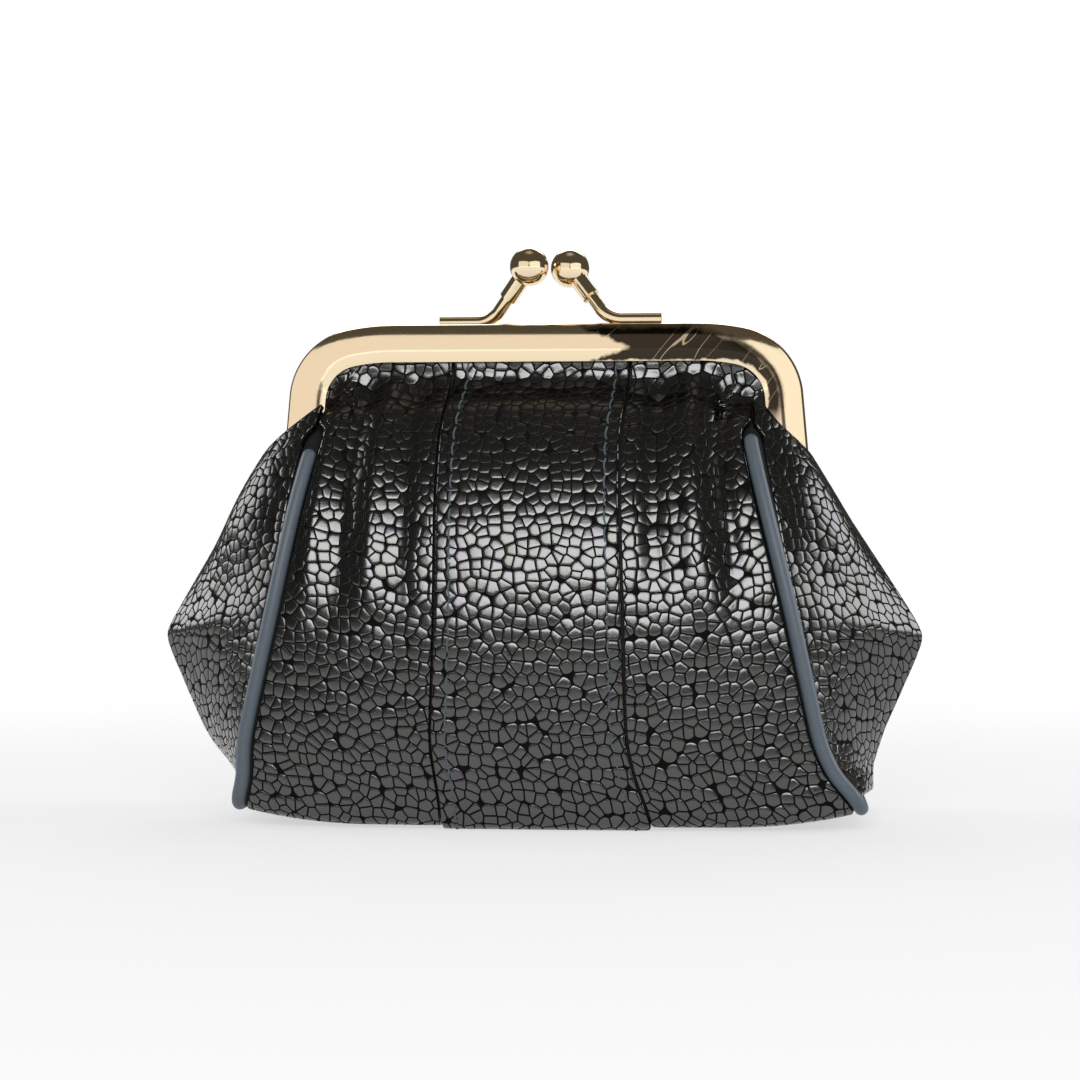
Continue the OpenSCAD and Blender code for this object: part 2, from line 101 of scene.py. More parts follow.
# The gussets' fold, at its widest, at its top and at the base.
FOLD_HALF_W = 62.9
FOLD_Z = 29.8
FOLD_ROOM = 1.9
FOLD_TOP = 58.6
FOLD_BASE_HALF_W = 49.6

# The middle strip, the skins, the bend under the base and the piping.
STRIP_HALF_W = 14.4
STRIP_BASE_HALF_W = 16
STRIP_PROUD = 0.5
LEATHER = 1.1
LINING = 0.4
LINING_GAP = 0.15
BEND_R = 3
PIPING_D = 2.3
SEAM = 0.1
BASE_Z = STRIP_PROUD
WALL_Z = BASE_Z + BEND_R
LEAN_START = 2
TUCK_LOW = EAR_TOP - 1.4
TUCK_HIGH = EAR_TOP + 1

# What is worked out from those: the arcs' centres, the mouth of the frame and the hinge.
CORNER_END = math.radians(90) - SPLAY
DROOP_X = FRAME_W / 2 - CROWN_R * math.sin(CROWN_TURN) - CORNER_R * (
    math.sin(CORNER_END) - math.sin(CROWN_TURN)
)
DROOP_Z = FRAME_TOP - CROWN_R
CORNER_X = DROOP_X + (CROWN_R - CORNER_R) * math.sin(CROWN_TURN)
CORNER_Z = DROOP_Z + (CROWN_R - CORNER_R) * math.cos(CROWN_TURN)
SHOULDER_Z = CORNER_Z + CORNER_R * math.cos(CORNER_END)
GRIP_Z = FRAME_TOP - BAND
GRIP_DEPTH = HALF_DEPTH - FACE_R - 0.08 + math.sqrt((FACE_R - SHEET) ** 2 - (BAND / 2 - 0.6) ** 2)
TOP_Z = FRAME_TOP - 2.6
HINGE_X = CORNER_X + CORNER_R * math.sin(CORNER_END) + (SHOULDER_Z - HINGE_Z) * math.tan(SPLAY) - 0.08
FOLD_TOP_HALF_W = HINGE_X + FOLD_ROOM

# The hide's grain: a pebble's size, how irregular they are, how far out from its centre each one
# is rounded off, as a share of its size, and how high it stands.
PEBBLE = 1.8
PEBBLE_RANDOM = 0.8
PEBBLE_ROUND = 0.74
PEBBLE_RELIEF = 0.05
# How far apart on the hide the pieces are cut, so that no two share their pebbles.
CUT_APART = 400
# A skin's hidden back keeps every third point of its front.
COARSE = 3
# How far each kind of cut edge rolls under.
SIDE_EDGE_ROLL = 0.35
STRIP_EDGE_ROLL = 0.45
GUSSET_EDGE_ROLL = 0.15

# The topstitching on the strip: its distance from the edge, and its stitches.
STITCH_INSET = 2.3
STITCH_PITCH = 2.9
STITCH_LENGTH = 2.3
THREAD_R = 0.165

# How much lower the left piping starts, the roll of leather behind the seams, and the lining's grid.
LEFT_PIPING_DROP = 2.2
SEAM_ROLL_R = 1.6
LINING_STEP = 1.5

# Each gather: x under the frame and x at its foot, half width, and height above the leather.
GATHERS = (
    (-31.5, -37.0, 2.0, 0.6),
    (-27.6, -31.5, 2.0, -0.7),
    (-23.8, -26.0, 2.4, 0.6),
    (-19.2, -20.5, 2.1, -0.4),
    (19.6, 20.0, 2.6, -0.7),
    (25.0, 27.5, 2.6, 0.7),
    (29.8, 33.5, 2.1, -0.8),
)
GATHER_FOOT = 26
GATHER_RUN = 44

PLACES = (("front", True), ("rear", False))
SIDES = (("left", True), ("right", False))
QUARTERS = [(place, front, side, left) for place, front in PLACES for side, left in SIDES]

# A Mix node's colours are found by number, because its three kinds of value share their names.
MIX_A = 6
MIX_B = 7
MIX_COLOUR = 2


def ease(t):
    """A smooth step from 0 to 1."""
    t = np.clip(t, 0, 1)
    return t * t * (3 - 2 * t)


def mix(a, b, t):
    return a + (b - a) * t


def inset_x(z, inset):
    """Half width at height z of the frame's outer edge, moved inwards by inset."""
    droop_end = DROOP_Z + (CROWN_R - inset) * math.cos(CROWN_TURN)
    corner_low = CORNER_Z + (CORNER_R - inset) * math.cos(CORNER_END)
    droop = DROOP_X + np.sqrt(np.maximum(0, (CROWN_R - inset) ** 2 - (z - DROOP_Z) ** 2))
    corner = CORNER_X + np.sqrt(np.maximum(0, (CORNER_R - inset) ** 2 - (z - CORNER_Z) ** 2))
    leg = CORNER_X + (CORNER_R - inset) * math.sin(CORNER_END) + (corner_low - z) * math.tan(SPLAY)
    return np.where(z >= droop_end, droop, np.where(z >= corner_low, corner, leg))


def edge_distance(x, z):
    """Distance of a point of the front view from the frame's outer edge."""
    turn = np.arctan2(x - DROOP_X, z - DROOP_Z)
    corner_turn = np.arctan2(x - CORNER_X, z - CORNER_Z)
    droop = CROWN_R - np.hypot(x - DROOP_X, z - DROOP_Z)
    corner = CORNER_R - np.hypot(x - CORNER_X, z - CORNER_Z)
    leg = (inset_x(z, 0) - x) * math.cos(SPLAY)
    bent = np.where(turn <= CROWN_TURN, droop, np.where(corner_turn <= CORNER_END, corner, leg))
    return np.where(x <= DROOP_X, FRAME_TOP - z, bent)


def belly(z, top, top_h, mid, low):
    """Depth of the bag at height z: fullest at the belly, drawn in to its top and its base."""
    rise = np.clip((z - BELLY_Z) / (top_h - BELLY_Z), 0, 1)
    high = mid - (mid - top) * rise**FULLNESS
    return np.where(z > BELLY_Z, high, mid - (mid - low) * ((BELLY_Z - z) / BELLY_Z) ** 2)


def centre_depth(z):
    """Depth down the middle strip."""
    return belly(z, GRIP_DEPTH, GRIP_Z, BELLY_DEPTH, BASE_DEPTH)


def edge_depth(z):
    """Depth at the side seams."""
    return belly(z, EAR_DEPTH, EAR_TOP, BELLY_EDGE_DEPTH, BASE_EDGE_DEPTH)


def piping_x(z):
    """Half width at the side seams, which turn out at the ears."""
    start = PIPING_TOP - LEAN_START
    return mix(BASE_HALF_W, NECK_HALF_W, z / PIPING_TOP) + EAR_LEAN * ease((z - start) / (EAR_TOP - start))


def strip_x(z):
    """Half width of the middle strip, which widens to the base."""
    return mix(STRIP_HALF_W, STRIP_BASE_HALF_W, (1 - np.clip(z / GRIP_Z, 0, 1)) ** 3)


def side_x(z):
    """Half width of the side panels: at the seam, and above the ears inside the frame."""
    inset = mix(4.4, 2.6, ease((z - SHOULDER_Z) / (TOP_Z - SHOULDER_Z)))
    return mix(piping_x(z), inset_x(z, inset), ease((z - EAR_TOP + 0.8) / 3.2))


def piping_gap(z):
    """Room that a panel leaves for the piping, up to where the piping stops."""
    return mix(PIPING_D / 2 + 2 * SEAM, 2.5 * SEAM, ease((z - PIPING_TOP - 1) / 1.5))


def panel_depth(x, z):
    """Depth of the front at a point, tucked into the frame at its top."""
    share = (np.abs(x) / side_x(np.minimum(z, TUCK_LOW))) ** 2.2
    full = mix(centre_depth(z), edge_depth(z), share)
    inside = edge_distance(np.abs(x), z) - BAND
    tuck = mix(1, ease((inside - 0.9) / 8), ease((z - TUCK_LOW + 2) / (TUCK_HIGH - TUCK_LOW + 2)))
    return GRIP_DEPTH + (full - GRIP_DEPTH) * tuck


PIPING_LOW = PIPING_D / 2 + 0.05
UPPER_SLOPE = (FOLD_HALF_W - FOLD_TOP_HALF_W) / (FOLD_TOP - FOLD_Z)
LOWER_SLOPE = (FOLD_HALF_W - FOLD_BASE_HALF_W) / FOLD_Z


def seam_depth(z):
    """Depth of the side seam, rounded in to the base at its foot."""
    low = z - PIPING_LOW
    corner = BEND_R - np.sqrt(np.maximum(0, BEND_R**2 - (BEND_R - low) ** 2))
    return edge_depth(z) - np.where(low < BEND_R, corner, 0)


def fold_x(z):
    """Half width at the gussets' fold: two straight runs with a soft corner between them."""
    high = FOLD_HALF_W + UPPER_SLOPE * (FOLD_Z - z)
    low = FOLD_HALF_W + LOWER_SLOPE * (z - FOLD_Z)
    return (high + low) / 2 - np.sqrt(((high - low) / 2) ** 2 + 0.64)


def gusset_point(v, t):
    """A point of the right gusset's front half, v up the seam and t from the piping to the fold."""
    pz = mix(PIPING_LOW, EAR_TOP, v)
    kz = mix(PIPING_LOW, FOLD_TOP, v)
    p = np.stack([piping_x(pz), -seam_depth(pz), pz], -1)
    k = np.stack([fold_x(kz), 0 * kz, kz], -1)
    bow = np.sin(np.pi * v)
    flat = (p + k) / 2 + np.stack([1.2 * bow, -1.2 * bow, 0 * bow], -1)
    square = np.stack([k[..., 0] + 1.5, p[..., 1] - 0.6, k[..., 2]], -1)
    q = mix(flat, square, ease((v - 0.55) / 0.4)[..., None])
    t = t[..., None]
    return (1 - t) ** 2 * p + 2 * t * (1 - t) * q + t * t * k


def normals(grid):
    """The outward normal at each point of a grid."""
    over = np.gradient(grid, axis=1)
    up = np.gradient(grid, axis=0)
    n = np.cross(over, up)
    return n / np.maximum(np.linalg.norm(n, axis=-1, keepdims=True), 1e-9)


def lengths(grid, axis):
    """Running length over the surface along one direction of a grid."""
    step = np.linalg.norm(np.diff(grid, axis=axis), axis=-1)
    start = np.zeros_like(np.take(step, [0], axis=axis))
    return np.cumsum(np.concatenate([start, step], axis=axis), axis=axis)


def add(tree, kind, sockets=None, **settings):
    """Adds a node with its settings, and sets or links its inputs."""
    node = tree.nodes.new(kind)
    for name, value in settings.items():
        setattr(node, name, value)
    for key, value in (sockets or {}).items():
        if isinstance(value, bpy.types.NodeSocket):
            tree.links.new(value, node.inputs[key])
        else:
            node.inputs[key].default_value = value
    return node


def colour(hex_code):
    """An sRGB hex colour as linear RGBA."""
    parts = [int(hex_code[i : i + 2], 16) / 255 for i in (1, 3, 5)]
    return (*[p / 12.92 if p <= 0.04045 else ((p + 0.055) / 1.055) ** 2.4 for p in parts], 1)


def new_material(name):
    material = bpy.data.materials.new(name)
    material.use_nodes = True
    tree = material.node_tree
    tree.nodes.clear()
    output = tree.nodes.new("ShaderNodeOutputMaterial")
    surface = tree.nodes.new("ShaderNodeBsdfPrincipled")
    tree.links.new(surface.outputs[0], output.inputs["Surface"])
    return material, tree, surface


def link(tree, source, surface, socket):
    tree.links.new(source, surface.inputs[socket])


def pebbles(tree, coordinate):
    """The embossed grain: distance from each pebble's edge, and a random colour and centre for each."""
    settings = {"Vector": coordinate, "Scale": 1 / PEBBLE, "Randomness": PEBBLE_RANDOM}
    edge = add(
        tree,
        "ShaderNodeTexVoronoi",
        settings,
        voronoi_dimensions="2D",
        feature="DISTANCE_TO_EDGE",
    )
    cell = add(tree, "ShaderNodeTexVoronoi", settings, voronoi_dimensions="2D", feature="F1")
    round_off = add(
        tree, "ShaderNodeMath", {0: PEBBLE_ROUND, 1: cell.outputs["Distance"]}, operation="SUBTRACT"
    )
    distance = add(
        tree,
        "ShaderNodeMath",
        {0: edge.outputs["Distance"], 1: round_off.outputs[0]},
        operation="MINIMUM",
    ).outputs[0]
    return distance, cell


def embossed_leather():
    """Cowhide, pebble-embossed and finished with a thin metallic film on its tops only.
    The tops mirror the lamps in soft grey patches, and the grooves stay matt black."""
    material, tree, surface = new_material("embossed_leather")
    surface.inputs["Specular IOR Level"].default_value = 0.12
    hide = add(tree, "ShaderNodeAttribute", attribute_name="hide").outputs["Vector"]
    distance, cell = pebbles(tree, hide)
    top = add(
        tree,
        "ShaderNodeMapRange",
        {"Value": distance, "From Min": 0.055, "From Max": 0.09},
        interpolation_type="SMOOTHSTEP",
    ).outputs[0]
    tone = add(
        tree,
        "ShaderNodeMix",
        {"Factor": cell.outputs["Color"]},
        data_type="RGBA",
    )
    tone.inputs[MIX_A].default_value = colour("#615f63")
    tone.inputs[MIX_B].default_value = colour("#5a5d58")
    base = add(tree, "ShaderNodeMix", {"Factor": top}, data_type="RGBA")
    base.inputs[MIX_A].default_value = colour("#0c0c0b")
    tree.links.new(tone.outputs[MIX_COLOUR], base.inputs[MIX_B])
    link(tree, base.outputs[MIX_COLOUR], surface, "Base Color")
    link(tree, top, surface, "Metallic")
    speck = add(tree, "ShaderNodeTexNoise", {"Vector": hide, "Scale": 4.5, "Detail": 2}).outputs["Fac"]
    sheen = add(
        tree,
        "ShaderNodeMapRange",
        {"Value": speck, "To Min": 0.16, "To Max": 0.26},
    ).outputs[0]
    rough = add(tree, "ShaderNodeMix", {"Factor": top, "A": 0.95, "B": sheen})
    link(tree, rough.outputs[0], surface, "Roughness")
    step = add(
        tree,
        "ShaderNodeMapRange",
        {"Value": distance, "From Min": 0.0, "From Max": 0.08},
        interpolation_type="SMOOTHSTEP",
    ).outputs[0]
    crown = add(
        tree, "ShaderNodeMath", {0: cell.outputs["Distance"], 1: 3}, operation="POWER"
    ).outputs[0]
    domed = add(tree, "ShaderNodeMath", {0: crown, 1: -1.4, 2: step}, operation="MULTIPLY_ADD").outputs[0]
    from_centre = add(
        tree, "ShaderNodeVectorMath", {0: hide, 1: cell.outputs["Position"]}, operation="SUBTRACT"
    ).outputs[0]
    lean = add(
        tree,
        "ShaderNodeVectorMath",
        {0: cell.outputs["Color"], 1: (0.5, 0.5, 0.5)},
        operation="SUBTRACT",
    ).outputs[0]
    tilt = add(tree, "ShaderNodeVectorMath", {0: from_centre, 1: lean}, operation="DOT_PRODUCT")
    height = add(
        tree, "ShaderNodeMath", {0: tilt.outputs["Value"], 1: 0.9, 2: domed}, operation="MULTIPLY_ADD"
    ).outputs[0]
    grain = add(tree, "ShaderNodeMath", {0: speck, 1: 0.1, 2: height}, operation="MULTIPLY_ADD")
    bump = add(
        tree,
        "ShaderNodeBump",
        {"Height": grain.outputs[0], "Strength": 0.7, "Distance": 0.14 * MM},
    )
    link(tree, bump.outputs[0], surface, "Normal")
    return material


def flesh_side():
    """The undyed back of the same hide, drawn as matt near-black fibre where it is turned in."""
    material, tree, surface = new_material("leather_flesh_side")
    surface.inputs["Base Color"].default_value = colour("#121211")
    surface.inputs["Roughness"].default_value = 0.9
    return material


GOLD = "#f5e1bf"
# The dark colour of the reflection that is painted on the front frame's plating.
PAINTED_REFLECTION_DARK = "#3b342b"
# The painted dark reflection, in millimetres: where it starts along the bar and how sharply, the height of
# its tip, its reach across the face measured from the corner's centre, and the bright lip under it.
PATCH_START = (15.5, 17)
PATCH_TIP_Z = 76.6
PATCH_WANDER = 5
PATCH_EDGE_WANDER = 1.2
PATCH_REACH = (8.4, 9.8)
PATCH_NARROWING = 3.6
PATCH_NARROW_RUN = (-6, 5)
PATCH_FOOT = (-5, -1.5)
PATCH_LIP = (6.9, 7.2)


def span(tree, value, ends, **settings):
    """The share, from 0 to 1, of the way that a value in metres is between two ends in millimetres."""
    sockets = {"Value": value, "From Min": ends[0] * MM, "From Max": ends[1] * MM}
    return add(tree, "ShaderNodeMapRange", {**sockets, **settings}).outputs[0]


def scratches(tree, place):
    """Fine slanted lines that have cut the plating, as 0.45 where there is one and 1 elsewhere."""
    slanted = add(
        tree,
        "ShaderNodeMapping",
        {"Vector": place, "Rotation": (0, 0.7, 0), "Scale": (1, 1, 9)},
        vector_type="TEXTURE",
    ).outputs[0]
    lines = add(tree, "ShaderNodeTexNoise", {"Vector": slanted, "Scale": 330, "Detail": 1}).outputs["Fac"]
    lines = add(tree, "ShaderNodeMath", {0: lines, 1: 0.5}, operation="SUBTRACT").outputs[0]
    lines = add(tree, "ShaderNodeMath", {0: lines}, operation="ABSOLUTE").outputs[0]
    limits = {"Value": lines, "From Min": 0.002, "From Max": 0.006, "To Min": 0.45}
    return add(tree, "ShaderNodeMapRange", limits).outputs[0]


def painted_dark_reflection_mask(tree, place):
    """How strongly the dark reflection is painted on: along the top bar, round its corner, and not on its
    lip.
    """
    warp = add(tree, "ShaderNodeTexNoise", {"Vector": place, "Scale": 600, "Detail": 5}).outputs["Fac"]
    axes = add(tree, "ShaderNodeSeparateXYZ", {0: place})
    across = axes.outputs["X"]
    wavy = add(
        tree, "ShaderNodeMath", {0: warp, 1: PATCH_WANDER * MM, 2: across}, operation="MULTIPLY_ADD"
    ).outputs[0]
    middle = add(
        tree, "ShaderNodeMath", {0: axes.outputs["Z"], 1: PATCH_TIP_Z * MM}, operation="SUBTRACT"
    ).outputs[0]
    middle = add(tree, "ShaderNodeMath", {0: middle}, operation="ABSOLUTE").outputs[0]
    pointed = add(tree, "ShaderNodeMath", {0: middle, 1: 2.4, 2: wavy}, operation="MULTIPLY_ADD").outputs[0]
    begun = span(tree, pointed, PATCH_START)
    sideways = add(
        tree, "ShaderNodeMath", {0: across, 1: CORNER_X * MM}, operation="SUBTRACT"
    ).outputs[0]
    sideways = add(tree, "ShaderNodeMath", {0: sideways, 1: 0}, operation="MAXIMUM").outputs[0]
    upwards = add(
        tree, "ShaderNodeMath", {0: axes.outputs["Z"], 1: CORNER_Z * MM}, operation="SUBTRACT"
    ).outputs[0]
    spoke = add(tree, "ShaderNodeCombineXYZ", {"X": sideways, "Y": upwards}).outputs[0]
    reach = add(tree, "ShaderNodeVectorMath", {0: spoke}, operation="LENGTH").outputs["Value"]
    reach = add(
        tree, "ShaderNodeMath", {0: warp, 1: PATCH_EDGE_WANDER * MM, 2: reach}, operation="MULTIPLY_ADD"
    ).outputs[0]
    run = [CORNER_X + end for end in PATCH_NARROW_RUN]
    narrowed = span(tree, across, run, **{"To Min": -PATCH_NARROWING * MM, "To Max": 0})
    narrowed = add(tree, "ShaderNodeMath", {0: narrowed, 1: reach}, operation="ADD").outputs[0]
    inner = span(tree, narrowed, PATCH_REACH, **{"To Min": 1, "To Max": 0})
    above = span(tree, upwards, PATCH_FOOT)
    lip = span(tree, reach, PATCH_LIP)
    inner = add(tree, "ShaderNodeMath", {0: lip, 1: inner}, operation="MULTIPLY").outputs[0]
    patch = add(tree, "ShaderNodeMath", {0: begun, 1: inner}, operation="MULTIPLY").outputs[0]
    patch = add(tree, "ShaderNodeMath", {0: patch, 1: above}, operation="MULTIPLY").outputs[0]
    scratch = scratches(tree, place)
    return add(tree, "ShaderNodeMath", {0: patch, 1: scratch}, operation="MULTIPLY").outputs[0]


def plated_metal(with_painted_reflection):
    """Pressed steel, polished and plated with pale gold: mirror-like, with faint rubbing marks.
    On the front frame a dark reflection is painted into the plating along the right of its top bar, with
    scratch lines in it."""
    material, tree, surface = new_material("rubbed_gold_plate" if with_painted_reflection else "pale_gold_plate")
    surface.inputs["Metallic"].default_value = 1
    place = add(tree, "ShaderNodeTexCoord").outputs["Object"]
    smear = add(tree, "ShaderNodeTexNoise", {"Vector": place, "Scale": 220, "Detail": 4}).outputs["Fac"]
    rough = add(tree, "ShaderNodeMapRange", {"Value": smear, "To Min": 0.05, "To Max": 0.14})
    link(tree, rough.outputs[0], surface, "Roughness")
    if not with_painted_reflection:
        surface.inputs["Base Color"].default_value = colour(GOLD)
        return material
    # A painted dark reflection along the right of the front frame's top bar.
    tone = add(tree, "ShaderNodeMix", {"Factor": painted_dark_reflection_mask(tree, place)}, data_type="RGBA")
    tone.inputs[MIX_A].default_value = colour(GOLD)
    tone.inputs[MIX_B].default_value = colour(PAINTED_REFLECTION_DARK)
    link(tree, tone.outputs[MIX_COLOUR], surface, "Base Color")
    return material


def piping_vinyl():
    """Extruded slate vinyl piping: an even satin bead."""
    material, tree, surface = new_material("slate_vinyl")
    place = add(tree, "ShaderNodeTexCoord").outputs["Object"]
    mottle = add(tree, "ShaderNodeTexNoise", {"Vector": place, "Scale": 900, "Detail": 3}).outputs["Fac"]
    base = add(tree, "ShaderNodeMix", {"Factor": mottle}, data_type="RGBA")
    base.inputs[MIX_A].default_value = colour("#4c5660")
    base.inputs[MIX_B].default_value = colour("#56606a")
    link(tree, base.outputs[MIX_COLOUR], surface, "Base Color")
    rough = add(tree, "ShaderNodeMapRange", {"Value": mottle, "To Min": 0.38, "To Max": 0.55})
    link(tree, rough.outputs[0], surface, "Roughness")
    bump = add(tree, "ShaderNodeBump", {"Height": mottle, "Strength": 0.2, "Distance": 0.05 * MM})
    link(tree, bump.outputs[0], surface, "Normal")
    return material


def lining_twill():
    """Woven black polyester lining, a fine twill with a slight sheen."""
    material, tree, surface = new_material("woven_lining")
    place = add(tree, "ShaderNodeTexCoord").outputs["Object"]
    weave = add(
        tree,
        "ShaderNodeTexWave",
        {"Vector": place, "Scale": 600, "Distortion": 0.4},
        bands_direction="DIAGONAL",
    ).outputs["Fac"]
    base = add(tree, "ShaderNodeMix", {"Factor": weave}, data_type="RGBA")
    base.inputs[MIX_A].default_value = colour("#17171a")
    base.inputs[MIX_B].default_value = colour("#2b2b30")
    link(tree, base.outputs[MIX_COLOUR], surface, "Base Color")
    surface.inputs["Roughness"].default_value = 0.6
    bump = add(tree, "ShaderNodeBump", {"Height": weave, "Strength": 0.4, "Distance": 0.08 * MM})
    link(tree, bump.outputs[0], surface, "Normal")
    return material


def paper_twine():
    """Twisted kraft paper cord, matt and fibrous."""
    material, tree, surface = new_material("kraft_paper")
    place = add(tree, "ShaderNodeTexCoord").outputs["Object"]
    fibre = add(tree, "ShaderNodeTexNoise", {"Vector": place, "Scale": 2500, "Detail": 4}).outputs["Fac"]
    base = add(tree, "ShaderNodeMix", {"Factor": fibre}, data_type="RGBA")
    base.inputs[MIX_A].default_value = colour("#a98a62")
    base.inputs[MIX_B].default_value = colour("#c9ad84")
    link(tree, base.outputs[MIX_COLOUR], surface, "Base Color")
    surface.inputs["Roughness"].default_value = 0.9
    return material


def stitch_thread():
    """Spun polyester thread, bluish grey and slightly fuzzy."""
    material, tree, surface = new_material("grey_thread")
    place = add(tree, "ShaderNodeTexCoord").outputs["Object"]
    fuzz = add(tree, "ShaderNodeTexNoise", {"Vector": place, "Scale": 3000, "Detail": 2}).outputs["Fac"]
    base = add(tree, "ShaderNodeMix", {"Factor": fuzz}, data_type="RGBA")
    base.inputs[MIX_A].default_value = colour("#2e3a40")
    base.inputs[MIX_B].default_value = colour("#5a6a72")
    link(tree, base.outputs[MIX_COLOUR], surface, "Base Color")
    surface.inputs["Roughness"].default_value = 0.6
    return material


LEATHER_FINISH = embossed_leather()
LEATHER_BACK = flesh_side()
METAL_FINISH = plated_metal(False)
# The front frame's plating, with a painted dark reflection on its top bar.
PAINTED_REFLECTION_FINISH = plated_metal(True)
PIPING_FINISH = piping_vinyl()
LINING_FINISH = lining_twill()
PAPER_FINISH = paper_twine()
THREAD_FINISH = stitch_thread()


def shell(name, outer, inner, coarse, hide=None, relief=None):
    """A closed sheet: a fine outer grid, an inner grid with every coarse-th point, and a rim."""
    rows, cols = outer.shape[:2]
    inner = inner[::coarse, ::coarse]
    in_rows, in_cols = inner.shape[:2]
    points = np.concatenate([outer.reshape(-1, 3), inner.reshape(-1, 3)])
    index = np.arange(rows * cols).reshape(rows, cols)
    inside = rows * cols + np.arange(in_rows * in_cols).reshape(in_rows, in_cols)
    faces = np.stack([index[:-1, :-1], index[:-1, 1:], index[1:, 1:], index[1:, :-1]], -1).reshape(-1, 4)
    back = np.stack([inside[:-1, :-1], inside[1:, :-1], inside[1:, 1:], inside[:-1, 1:]], -1)
    faces = faces.tolist() + back.reshape(-1, 4).tolist()
    for fine, rough in (
        (index[0], inside[0]),
        (index[:, -1], inside[:, -1]),
        (index[-1, ::-1], inside[-1, ::-1]),
        (index[::-1, 0], inside[::-1, 0]),
    ):
        for i in range(len(rough) - 1):
            edge = fine[i * coarse : (i + 1) * coarse + 1]
            faces.append([*edge[::-1].tolist(), int(rough[i]), int(rough[i + 1])])
    mesh = bpy.data.meshes.new(name)
    mesh.from_pydata(points * MM, [], faces)
    if hide is not None:
        fill = np.zeros((in_rows * in_cols, 3))
        fill[:, :2] = hide[::coarse, ::coarse, :2].reshape(-1, 2)
        values = np.concatenate([hide.reshape(-1, 3), fill])
        mesh.attributes.new("hide", "FLOAT_VECTOR", "POINT").data.foreach_set("vector", values.ravel())
        lift = np.concatenate([relief.ravel(), np.zeros(len(fill))])
        mesh.attributes.new("relief", "FLOAT", "POINT").data.foreach_set("value", lift)
    mesh.shade_smooth()
    piece = bpy.data.objects.new(name, mesh)
    bpy.context.scene.collection.objects.link(piece)
    return piece


def emboss_tree():
    """Raises each pebble along the surface's normal by the relief stored on the hide."""
    tree = bpy.data.node_groups.new("emboss", "GeometryNodeTree")
    tree.interface.new_socket("Geometry", in_out="INPUT", socket_type="NodeSocketGeometry")
    pebble_height = tree.interface.new_socket(
        "Pebble height", in_out="INPUT", socket_type="NodeSocketFloat"
    )
    finish = tree.interface.new_socket("Finish", in_out="INPUT", socket_type="NodeSocketMaterial")
    tree.interface.new_socket("Geometry", in_out="OUTPUT", socket_type="NodeSocketGeometry")
    given = add(tree, "NodeGroupInput")
    hide = add(tree, "GeometryNodeInputNamedAttribute", {"Name": "hide"}, data_type="FLOAT_VECTOR")
    relief = add(tree, "GeometryNodeInputNamedAttribute", {"Name": "relief"}, data_type="FLOAT")
    distance, cell = pebbles(tree, hide.outputs["Attribute"])
    dome = add(
        tree,
        "ShaderNodeMapRange",
        {"Value": distance, "From Min": 0.0, "From Max": 0.16},
        interpolation_type="SMOOTHSTEP",
    ).outputs[0]
    raised = add(
        tree, "ShaderNodeMath", {0: dome, 1: relief.outputs["Attribute"]}, operation="MULTIPLY"
    ).outputs[0]
    high = add(
        tree, "ShaderNodeMath", {0: raised, 1: given.outputs["Pebble height"]}, operation="MULTIPLY"
    ).outputs[0]
    move = add(
        tree,
        "ShaderNodeVectorMath",
        {0: add(tree, "GeometryNodeInputNormal").outputs[0], "Scale": high},
        operation="SCALE",
    ).outputs[0]
    moved = add(tree, "GeometryNodeSetPosition", {"Geometry": given.outputs["Geometry"], "Offset": move})
    whole = add(tree, "GeometryNodeRealizeInstances", {"Geometry": moved.outputs[0]})
    dressed = add(
        tree,
        "GeometryNodeSetMaterial",
        {"Geometry": whole.outputs[0], "Material": given.outputs["Finish"]},
    )
    add(tree, "NodeGroupOutput", {"Geometry": dressed.outputs[0]})
    return tree, pebble_height.identifier, finish.identifier


def settled(piece, tree, values):
    """Runs a geometry tree on a piece and keeps the result as its plain mesh."""
    modifier = piece.modifiers.new("shape", "NODES")
    modifier.node_group = tree
    for identifier, value in values.items():
        modifier[identifier] = value
    bpy.context.view_layer.update()
    graph = bpy.context.evaluated_depsgraph_get()
    mesh = bpy.data.meshes.new_from_object(piece.evaluated_get(graph))
    piece.modifiers.clear()
    old = piece.data
    piece.data = mesh
    mesh.name = piece.name
    bpy.data.meshes.remove(old)
    return piece


EMBOSS, PEBBLE_HEIGHT, EMBOSS_FINISH = emboss_tree()


def hang(piece, front, slot, *nodes):
    """Bakes the piece's placement into its mesh, and hides the model's nodes that it stands in for."""
    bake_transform(piece)
    if nodes:
        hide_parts(*nodes)


def sway(z):
    """How far the filled bag leans to the left of its frame, at height z."""
    return 1.3 - 2.3 * ease(z / 16) - 0.6 * ease((z - 30) / 28) + 1.2 * ease((z - 60) / 14)


def placed(points, flip_x, flip_y):
    """Points moved to their own quarter of the bag, then leant and flared with the whole."""
    moved = points * np.array([-1 if flip_x else 1, -1 if flip_y else 1, 1])
    flare = (0.4 + 1.2 * moved[..., 0] / BASE_HALF_W) * (1 - ease(moved[..., 2] / 9))
    corner = np.clip((np.abs(moved[..., 0]) - 28) / 20, 0, 1) ** 2
    moved[..., 0] += sway(moved[..., 2]) + flare
    moved[..., 2] += 2.4 * corner * (1 - ease(moved[..., 2] / 14))
    return moved


def mirrored(grid, flip_x, flip_y):
    """A placed grid, with its columns turned so that it still faces out."""
    moved = placed(grid, flip_x, flip_y)
    return moved[:, ::-1] if flip_x != flip_y else moved


def steps(length, spacing, coarse):
    """Number of points along a length, so that every coarse-th point reaches the end."""
    return max(1, round(length / spacing / coarse)) * coarse + 1


def gathers(x, z):
    """Soft folds in a side panel, fanning down and out from under the frame's corner."""
    high = ease((z - GATHER_FOOT) / 22) * (1 - ease((z - 69) / 5))
    relief = 0 * x
    for top, low, width, height in GATHERS:
        middle = mix(low, top, (z - GATHER_FOOT) / GATHER_RUN)
        relief = relief + height * np.exp(-(((x - middle) / (width * mix(1.3, 0.8, high))) ** 2))
    return relief * high


